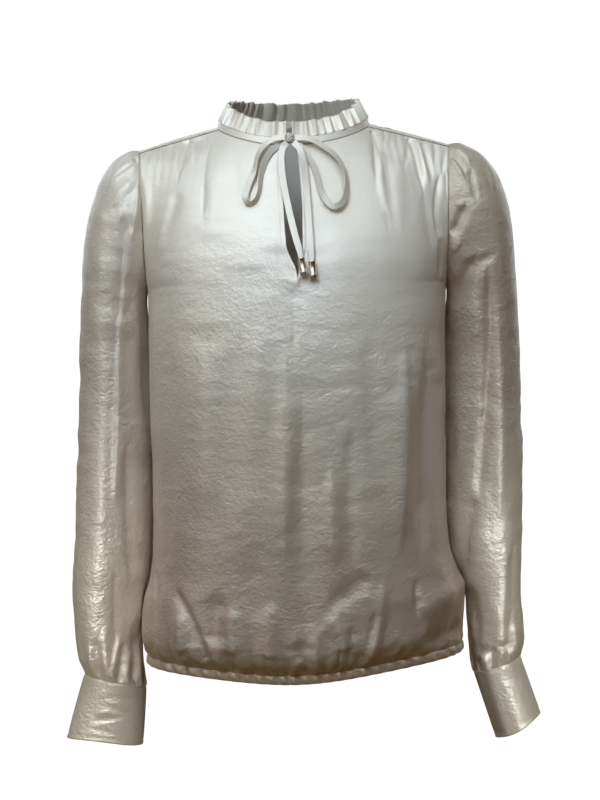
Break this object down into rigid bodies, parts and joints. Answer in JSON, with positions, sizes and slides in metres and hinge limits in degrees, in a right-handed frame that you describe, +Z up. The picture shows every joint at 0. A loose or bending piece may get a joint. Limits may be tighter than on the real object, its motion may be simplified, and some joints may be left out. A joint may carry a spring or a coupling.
{
  "type": "blouse",
  "caption": "Worn satin blouse with a frilled stand collar, a bow tied over a keyhole slit, full sleeves on deep cuffs and an elasticated hem.",
  "frame": {"origin": "on the blouse's middle line, level with the highest point of the shoulders, where the wearer's neck and shoulders hold it", "axes": "+Z up along the wearer, +X to the viewer's right, -Y out of the blouse's front"},
  "size_m": [0.5393, 0.2538, 0.7317],
  "materials": {
    "satin": "hammered satin with a soft sheen",
    "tip_metal": "polished, pale rose"
  },
  "bodies": {
    "root": {"front": "satin", "back": "satin", "shoulder_strip_left": "satin", "shoulder_strip_right": "satin", "sleeve_left": "satin", "sleeve_right": "satin", "cuff_left": "satin", "cuff_right": "satin", "neck_band": "satin", "neck_frill": "satin", "hem_casing": "satin", "loop_left": "satin", "loop_right": "satin", "tail_left": "satin", "tail_right": "satin", "bow_knot": "satin", "tip_left": "tip_metal", "tip_right": "tip_metal"}
  },
  "joints": []
}
